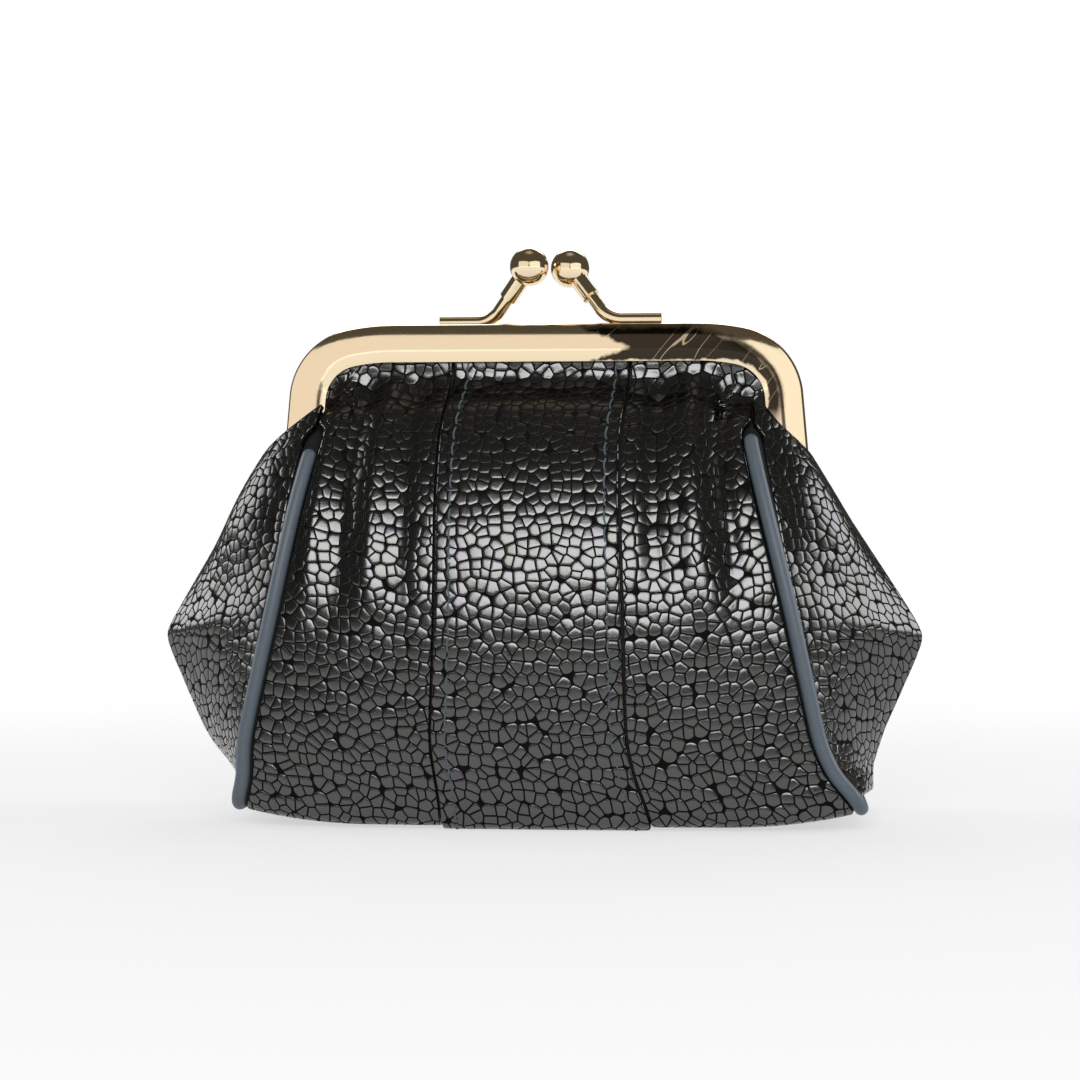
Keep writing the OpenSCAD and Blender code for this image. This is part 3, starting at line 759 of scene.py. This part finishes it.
def panel_rows(coarse):
    """Rows from the seam under the base, round the bend and up the wall: share of base, turn, height."""
    flat = steps(BASE_DEPTH - BEND_R, 2 * FINE, coarse) - 1
    bend = steps(BEND_R * 1.57, FINE, coarse) - 1
    wall = steps(TOP_Z - WALL_Z + 4, FINE, coarse)
    share = np.concatenate([np.linspace(0, 1, flat, endpoint=False), np.ones(bend + wall)])
    turn = np.concatenate([np.zeros(flat), np.linspace(0, 90, bend, endpoint=False), np.full(wall, 90)])
    z = np.concatenate([np.full(flat + bend, WALL_Z), np.linspace(WALL_Z, TOP_Z, wall)])
    turn = np.radians(turn)
    height = np.where(turn < np.pi / 2, BASE_Z + BEND_R * (1 - np.cos(turn)), z)
    return share, turn, height


def panel_grid(columns, keep=slice(None)):
    """Points of the front's outer surface for x positions given as a function of height."""
    share, turn, height = (row[keep] for row in panel_rows(COARSE))
    x = columns(height)
    z = np.broadcast_to(height[:, None], x.shape)
    wall = panel_depth(x, np.maximum(z, WALL_Z))
    turned = wall - BEND_R * (1 - np.sin(turn))[:, None]
    y = np.where(share[:, None] < 1, mix(SEAM, wall - BEND_R, share[:, None]), turned)
    return np.stack([x, -y, z], -1)


def rolled(distance, radius):
    """How far a cut edge rolls under, at a distance from the edge."""
    t = np.clip(1 - distance / radius, 0, 1)
    return radius * (1 - np.sqrt(1 - t * t))


def proud(z, lift):
    """How far the lapped strip stands up, pressed flat where the frame grips it."""
    return lift * (1 - ease((z - GRIP_Z + 8) / 6))


def leather_piece(name, outer, inner, hide, relief, front, left, node):
    """A cut piece of leather on its own quarter of the bag, embossed and hung there."""
    if left != (not front):
        hide = hide[:, ::-1]
        relief = relief[:, ::-1]
    piece = shell(
        name, mirrored(outer, left, not front), mirrored(inner, left, not front), COARSE, hide, relief
    )
    settled(piece, EMBOSS, {PEBBLE_HEIGHT: PEBBLE_RELIEF * MM, EMBOSS_FINISH: LEATHER_FINISH})
    hang(piece, front, "leather", node)


def leather_panel(name, columns, width, lift, edges, front, left, offset, node):
    """A front or back panel, with its cut edges rolled under by the radii given in edges."""
    f = np.linspace(0, 1, steps(width, FINE, COARSE))
    grid = panel_grid(lambda z: columns(z[:, None], f[None, :]))
    n = normals(grid)
    across = lengths(grid, 1)
    along = lengths(grid, 0)
    z = grid[..., 2]
    drop = np.zeros(z.shape)
    if edges[0]:
        drop = drop + rolled(across, edges[0])
    if edges[1]:
        drop = drop + rolled(across[:, -1:] - across, edges[1])
    near = np.minimum(across, across[:, -1:] - across)
    sign = -1 if left else 1
    raise_by = proud(z, lift) + gathers(sign * grid[..., 0], z)
    outer = grid + n * (raise_by - drop)[..., None]
    inner = grid + n * (raise_by - LEATHER)[..., None]
    hide = np.stack([sign * (across + grid[:, :1, 0]) + offset, along, 0 * along], -1)
    relief = ease(near / 0.5) * ease((74.5 - z) / 1.5) * ease(along / 0.6)
    leather_piece(name, outer, inner, hide, relief, front, left, node)


def strip_columns(z, f):
    return (2 * f - 1) * strip_x(z)


def side_columns(z, f):
    return mix(strip_x(z) + SEAM + 0.2, side_x(z) - piping_gap(z), f)


for place, front in PLACES:
    leather_panel(
        f"{place}_strip",
        strip_columns,
        2 * STRIP_BASE_HALF_W,
        STRIP_PROUD,
        (STRIP_EDGE_ROLL, STRIP_EDGE_ROLL),
        front,
        False,
        CUT_APART * (not front),
        f"{place}_panel_centre",
    )
    for side, left in SIDES:
        leather_panel(
            f"{place}_side_{side}",
            side_columns,
            BASE_HALF_W - STRIP_BASE_HALF_W,
            0,
            (0, SIDE_EDGE_ROLL),
            front,
            left,
            CUT_APART * (2 + (not front)),
            f"{place}_panel_{side}",
        )


def stitch_tree():
    """Lays straight stitches end to end along a path, each one arched over the leather."""
    tree = bpy.data.node_groups.new("topstitch", "GeometryNodeTree")
    tree.interface.new_socket("Geometry", in_out="INPUT", socket_type="NodeSocketGeometry")
    names = ("Pitch", "Length", "Thread radius")
    sizes = [
        tree.interface.new_socket(name, in_out="INPUT", socket_type="NodeSocketFloat").identifier
        for name in names
    ]
    finish = tree.interface.new_socket("Thread", in_out="INPUT", socket_type="NodeSocketMaterial")
    tree.interface.new_socket("Geometry", in_out="OUTPUT", socket_type="NodeSocketGeometry")
    given = add(tree, "NodeGroupInput")
    path = add(tree, "GeometryNodeMeshToCurve", {"Mesh": given.outputs["Geometry"]}).outputs[0]
    places = add(
        tree, "GeometryNodeCurveToPoints", {"Curve": path, "Length": given.outputs["Pitch"]}, mode="LENGTH"
    )
    half = add(tree, "ShaderNodeMath", {0: given.outputs["Length"], 1: 0.5}, operation="MULTIPLY").outputs[0]
    back = add(tree, "ShaderNodeMath", {0: half, 1: -1}, operation="MULTIPLY").outputs[0]
    dip = add(
        tree, "ShaderNodeMath", {0: given.outputs["Thread radius"], 1: -1.2}, operation="MULTIPLY"
    ).outputs[0]
    rise = add(
        tree, "ShaderNodeMath", {0: given.outputs["Thread radius"], 1: 1.7}, operation="MULTIPLY"
    ).outputs[0]
    start = add(tree, "ShaderNodeCombineXYZ", {"X": dip, "Z": back}).outputs[0]
    middle = add(tree, "ShaderNodeCombineXYZ", {"X": rise}).outputs[0]
    end = add(tree, "ShaderNodeCombineXYZ", {"X": dip, "Z": half}).outputs[0]
    arch = add(
        tree,
        "GeometryNodeCurveQuadraticBezier",
        {"Resolution": 5, "Start": start, "Middle": middle, "End": end},
    ).outputs[0]
    section = add(
        tree, "GeometryNodeCurvePrimitiveCircle", {"Resolution": 6, "Radius": given.outputs["Thread radius"]}
    ).outputs[0]
    stitch = add(
        tree, "GeometryNodeCurveToMesh", {"Curve": arch, "Profile Curve": section, "Fill Caps": True}
    ).outputs[0]
    laid = add(
        tree,
        "GeometryNodeInstanceOnPoints",
        {"Points": places.outputs["Points"], "Instance": stitch, "Rotation": places.outputs["Rotation"]},
    ).outputs[0]
    whole = add(tree, "GeometryNodeRealizeInstances", {"Geometry": laid}).outputs[0]
    dressed = add(
        tree, "GeometryNodeSetMaterial", {"Geometry": whole, "Material": given.outputs["Thread"]}
    )
    add(tree, "NodeGroupOutput", {"Geometry": dressed.outputs[0]})
    return tree, sizes, finish.identifier


TOPSTITCH, STITCH_SIZES, STITCH_FINISH = stitch_tree()


def topstitch(name, front):
    """Two rows down the strip, one inside each of its edges."""
    points = []
    edges = []
    for side in (-1, 1):
        grid = panel_grid(lambda z: side * (strip_x(z[:, None]) - STITCH_INSET) + np.array([[-0.2, 0.2]]))
        n = normals(grid)
        lift = proud(grid[..., 2], STRIP_PROUD) + 0.06
        line = (grid + n * lift[..., None]).mean(axis=1)
        keep = (line[:, 2] < GRIP_Z - 0.6) & (line[:, 1] < -3)
        line = line[keep][:: max(1, round(0.6 / FINE))]
        edges += [(len(points) + i, len(points) + i + 1) for i in range(len(line) - 1)]
        points += (placed(line, False, not front) * MM).tolist()
    mesh = bpy.data.meshes.new(name)
    mesh.from_pydata(points, edges, [])
    piece = bpy.data.objects.new(name, mesh)
    bpy.context.scene.collection.objects.link(piece)
    values = dict(zip(STITCH_SIZES, (STITCH_PITCH * MM, STITCH_LENGTH * MM, THREAD_R * MM)))
    settled(piece, TOPSTITCH, {**values, STITCH_FINISH: THREAD_FINISH})
    hang(piece, front, "leather")


for place, front in PLACES:
    topstitch(f"{place}_topstitch", front)


def gusset_grid(low, high, rows, cols, inset):
    """A grid over the right gusset's front half from its seam to its fold, and its normals."""
    v = np.linspace(low, high, rows)[:, None]
    z = mix(PIPING_LOW, EAR_TOP, v)
    width = np.linalg.norm(gusset_point(v, 0 * v + 1) - gusset_point(v, 0 * v), axis=-1)
    start = 1.1 * (piping_gap(z) + inset) / width
    t = mix(start, 1, np.linspace(0, 1, cols)[None, :])
    grid = gusset_point(np.broadcast_to(v, t.shape), t)
    n = normals(grid)
    # At the fold the two halves meet face to face, so the normal has no depth there.
    n[:, -1, 1] = 0
    return grid, n / np.linalg.norm(n, axis=-1, keepdims=True)


def gusset_half(name, front, left, offset, node):
    """Half of a side wall, from the piping to the fold."""
    low = 1.3 * piping_gap(0) / (EAR_TOP - PIPING_LOW)
    rows = steps(EAR_TOP * 1.05, FINE, COARSE)
    grid, n = gusset_grid(low, 1, rows, steps(24, FINE, COARSE), 0)
    across = lengths(grid, 1)
    along = lengths(grid, 0)
    outer = grid - n * rolled(across, GUSSET_EDGE_ROLL)[..., None]
    inner = grid - n * LEATHER
    sign = -1 if left else 1
    hide = np.stack([sign * across + offset, along, 0 * along], -1)
    near = np.minimum(across, along)
    relief = ease(near / 0.5) * ease((along[-1:] - along) / 0.6)
    leather_piece(name, outer, inner, hide, relief, front, left, node)


for place, front, side, left in QUARTERS:
    offset = CUT_APART * (4 + (not front))
    gusset_half(f"gusset_{side}_{place}", front, left, offset, f"gusset_{side}")


def lining_panel(name, front, node):
    """The lining behind the front or back, which follows the leather's gathers."""
    f = np.linspace(0, 1, 61)

    def columns(z):
        reach = side_x(z[:, None]) - piping_gap(z[:, None]) - LINING
        return (2 * f[None, :] - 1) * reach

    grid = panel_grid(columns, slice(None, None, max(1, round(LINING_STEP / FINE))))
    n = normals(grid)
    grid = grid + n * gathers(grid[..., 0], grid[..., 2])[..., None]
    outer = grid - n * (LEATHER + LINING_GAP)
    inner = grid - n * (LEATHER + LINING_GAP + LINING)
    piece = shell(name, mirrored(outer, False, not front), mirrored(inner, False, not front), 1)
    piece.data.materials.append(LINING_FINISH)
    hang(piece, front, "lining", node)


for place, front in PLACES:
    lining_panel(f"{place}_lining", front, f"lining_{place}")


def lining_gusset(name, front, left, node):
    """The lining of half a side wall, which stops below the frame."""
    low = 2.6 * piping_gap(0) / (EAR_TOP - PIPING_LOW)
    grid, n = gusset_grid(low, 0.74, 45, 19, LEATHER)
    outer = grid - n * (LEATHER + LINING_GAP + 0.25)
    inner = outer - n * LINING
    piece = shell(name, mirrored(outer, left, not front), mirrored(inner, left, not front), 1)
    piece.data.materials.append(LINING_FINISH)
    hang(piece, front, "lining", node)


for place, front, side, left in QUARTERS:
    lining_gusset(f"gusset_lining_{side}_{place}", front, left, f"lining_gusset_{side}")


def outwards(mesh):
    """Turns every face of a closed mesh to the outside."""
    shape = bmesh.new()
    shape.from_mesh(mesh)
    bmesh.ops.recalc_face_normals(shape, faces=shape.faces)
    shape.to_mesh(mesh)
    shape.free()


def tube(name, path, radius, sides=20):
    """A round bar along a path, closed by a rounded start and a flat end."""
    path = np.asarray(path)
    tangent = np.gradient(path, axis=0)
    tangent /= np.linalg.norm(tangent, axis=-1, keepdims=True)
    u = np.cross(tangent, [1, 0, 0])
    u /= np.linalg.norm(u, axis=-1, keepdims=True)
    w = np.cross(tangent, u)
    rings = []
    for turn in np.radians((0, 20, 40, 60, 80)):
        centre = path[0] + tangent[0] * radius * (1 - math.cos(turn))
        rings.append((centre, radius * max(math.sin(turn), 0.02), 0))
    first = next(i for i in range(len(path)) if np.linalg.norm(path[i] - path[0]) > radius)
    rings += [(path[i], radius, i) for i in range(first, len(path))]
    around = np.linspace(0, 2 * np.pi, sides, endpoint=False)
    points = [
        c + r * (np.cos(around)[:, None] * u[i] + np.sin(around)[:, None] * w[i]) for c, r, i in rings
    ]
    count = len(points)
    faces = [list(range(sides))]
    for i in range(count - 1):
        for k in range(sides):
            a = i * sides + k
            b = i * sides + (k + 1) % sides
            faces.append([a, a + sides, b + sides, b])
    faces.append([(count - 1) * sides + k for k in range(sides)][::-1])
    mesh = bpy.data.meshes.new(name)
    mesh.from_pydata(np.concatenate(points) * MM, [], faces)
    mesh.shade_smooth()
    piece = bpy.data.objects.new(name, mesh)
    bpy.context.scene.collection.objects.link(piece)
    return piece


def piping_half(name, front, left, node):
    """The piping down a side seam and in to the middle of the base. The left one starts lower."""
    top = PIPING_TOP - (LEFT_PIPING_DROP if left else 0)
    z = mix(top, PIPING_LOW, np.sin(np.linspace(0, np.pi / 2, 110)))
    down = np.stack([piping_x(z), -seam_depth(z), z], -1)
    under = down[-1] * np.array([1, 0, 1]) + np.outer(np.linspace(1, 0, 25)[1:], [0, down[-1][1], 0])
    path = placed(np.concatenate([down, under]), left, not front)
    piece = tube(name, path, PIPING_D / 2)
    outwards(piece.data)
    piece.data.materials.append(PIPING_FINISH)
    hang(piece, front, "piping", node)


for place, front, side, left in QUARTERS:
    piping_half(f"piping_{side}_{place}", front, left, f"piping_{side}")


def seam_allowance(name, front, left):
    """The leather turned in and rolled behind the side seam, which closes the gap there."""
    z = np.linspace(EAR_TOP + 3, PIPING_LOW + 1, 140)
    lower = LEFT_PIPING_DROP if left else 0
    high = ease((z - PIPING_TOP + 3 + lower) / 6)
    out = 0.9 * ease((z - PIPING_TOP + lower) / 6) + 1.2 * ease((z - 30) / 20) - 1
    path = np.stack([piping_x(z) + out, 1.9 + 2.4 * high - seam_depth(z), z], -1)
    piece = tube(name, placed(path, left, not front), SEAM_ROLL_R, 14)
    piece.data.materials.append(LEATHER_BACK)
    hang(piece, front, "leather")


for place, front, side, left in QUARTERS:
    seam_allowance(f"seam_allowance_{side}_{place}", front, left)

for name, node in frame["nodes"].items():
    if name.startswith(("frame", "hinge", "clasp")):
        node.data.materials.clear()
        node.data.materials.append(PAINTED_REFLECTION_FINISH if name == "frame_front" else METAL_FINISH)
    if name.startswith("paper"):
        node.data.materials.clear()
        node.data.materials.append(PAPER_FINISH)


# Studio: a pale floor, a white surround, softboxes, and a dim room that only mirrors see.
FLOOR_HALF_W = 3
ROOM_R = 1.6
ROOM_PANELS = 36
ROOM_LOW = math.radians(-2)
ROOM_HIGH = math.radians(89)
METAL = ("frame", "hinge", "clasp")


def seen_directly(tree):
    """1 for rays from the camera, a mirror or a clear material, and 0 for light falling on things."""
    path = add(tree, "ShaderNodeLightPath").outputs
    seen = add(
        tree, "ShaderNodeMath", {0: path["Is Camera Ray"], 1: path["Is Glossy Ray"]}, operation="ADD"
    ).outputs[0]
    return add(
        tree,
        "ShaderNodeMath",
        {0: seen, 1: path["Is Transmission Ray"]},
        operation="ADD",
        use_clamp=True,
    ).outputs[0]


def stage_piece(name, points, faces, material_name):
    """A flat piece of the set, with an empty material for its own nodes."""
    mesh = bpy.data.meshes.new(name)
    mesh.from_pydata(points, [], faces)
    piece = bpy.data.objects.new(name, mesh)
    bpy.context.scene.collection.objects.link(piece)
    material = bpy.data.materials.new(material_name)
    material.use_nodes = True
    material.node_tree.nodes.clear()
    mesh.materials.append(material)
    return piece, material.node_tree


def studio_floor():
    """Matt white paper that takes the bag's shadow, and fades to the white surround around it."""
    r = FLOOR_HALF_W
    corners = [(-r, -r, 0), (r, -r, 0), (r, r, 0), (-r, r, 0)]
    floor, tree = stage_piece("floor", corners, [(0, 1, 2, 3)], "white_paper")
    place = add(tree, "ShaderNodeTexCoord").outputs["Object"]
    away = add(tree, "ShaderNodeVectorMath", {0: place}, operation="LENGTH").outputs["Value"]
    glow_share = add(
        tree,
        "ShaderNodeMapRange",
        {"Value": away, "From Min": 0.1, "From Max": 0.35, "To Min": 0.6, "To Max": 1.0},
        interpolation_type="SMOOTHSTEP",
    ).outputs[0]
    share = add(
        tree, "ShaderNodeMath", {0: seen_directly(tree), 1: glow_share}, operation="MULTIPLY"
    ).outputs[0]
    paper = add(tree, "ShaderNodeBsdfDiffuse", {"Color": colour("#e8e8e8")}).outputs[0]
    glow = add(tree, "ShaderNodeEmission", {"Color": (1, 1, 1, 1), "Strength": 1.0}).outputs[0]
    blend = add(tree, "ShaderNodeMixShader", {0: share, 1: paper, 2: glow}).outputs[0]
    add(tree, "ShaderNodeOutputMaterial", {"Surface": blend})


def white_surround():
    """White where it is seen, and dimmer as a light, so that colours render as they are written."""
    world = bpy.data.worlds.new("surround")
    bpy.context.scene.world = world
    world.use_nodes = True
    tree = world.node_tree
    tree.nodes.clear()
    strength = add(tree, "ShaderNodeMix", {"Factor": seen_directly(tree), "A": 0.3, "B": 1}).outputs[0]
    sky = add(tree, "ShaderNodeBackground", {"Color": (1, 1, 1, 1), "Strength": strength}).outputs[0]
    add(tree, "ShaderNodeOutputWorld", {"Surface": sky})


def softbox(name, azimuth, elevation, size, watts, tint=(1, 1, 1)):
    """A rectangular lamp a metre from the middle of the bag; azimuth 0 is the front."""
    lamp = bpy.data.lights.new(name, "AREA")
    lamp.shape = "RECTANGLE"
    lamp.size = size[0]
    lamp.size_y = size[1]
    lamp.energy = watts
    lamp.color = tint
    rig = bpy.data.objects.new(name, lamp)
    a = math.radians(azimuth)
    e = math.radians(elevation)
    out = Vector((math.sin(a) * math.cos(e), -math.cos(a) * math.cos(e), math.sin(e)))
    rig.location = Vector((0, 0, 0.04)) + out
    rig.rotation_mode = "QUATERNION"
    rig.rotation_quaternion = (-out).to_track_quat("-Z", "Y")
    bpy.context.scene.collection.objects.link(rig)
    return rig


def dim_room():
    """A round wall and ceiling that only mirrors see: dark below, and warmer and lighter overhead."""
    points = []
    faces = []
    for i in range(ROOM_PANELS + 1):
        a = math.radians(360 * i / ROOM_PANELS - 180)
        for e in (ROOM_LOW, ROOM_HIGH):
            across = ROOM_R * math.cos(e)
            points.append((across * math.sin(a), -across * math.cos(a), 0.045 + ROOM_R * math.sin(e)))
        if i:
            faces.append((2 * i - 2, 2 * i, 2 * i + 1, 2 * i - 1))
    room, tree = stage_piece("dark_room", points, faces, "dim_room_wall")
    place = add(tree, "ShaderNodeTexCoord").outputs["Object"]
    height = add(tree, "ShaderNodeSeparateXYZ", {0: place}).outputs["Z"]
    limits = {"From Min": 0.75 * ROOM_R, "From Max": ROOM_R, "To Min": 0.1, "To Max": 0.6}
    tone = add(
        tree, "ShaderNodeMapRange", {"Value": height, **limits}, interpolation_type="SMOOTHSTEP"
    ).outputs[0]
    wall = add(tree, "ShaderNodeEmission", {"Color": colour("#e6dcc8"), "Strength": tone}).outputs[0]
    add(tree, "ShaderNodeOutputMaterial", {"Surface": wall})
    room.visible_camera = False
    room.visible_diffuse = False
    room.visible_shadow = False
    room.visible_transmission = False


def lit_by(rig, metal):
    """Keeps a lamp for the metal parts only, or for everything but them, as flags on a set would."""
    chosen = bpy.data.collections.new(rig.name + "_set")
    for piece in bpy.context.scene.objects:
        if piece.type == "MESH" and piece.name.startswith(METAL) == metal:
            chosen.objects.link(piece)
    rig.light_linking.receiver_collection = chosen


studio_floor()
white_surround()
lit_by(softbox("hide_softbox", 4, 26, (0.7, 0.46), 5.75), False)
lit_by(softbox("hide_left_softbox", -108, 22, (0.7, 0.5), 3.6), False)
lit_by(softbox("hide_right_softbox", 102, 22, (0.7, 0.5), 4.2), False)
lit_by(softbox("metal_left_softbox", -30, 13, (1.2, 0.6), 1.95, (1, 0.95, 0.94)), True)
lit_by(softbox("metal_right_softbox", 40, 13, (1.3, 0.6), 2.5), True)
softbox("back_softbox", 180, 40, (0.8, 0.4), 3)
dim_room()
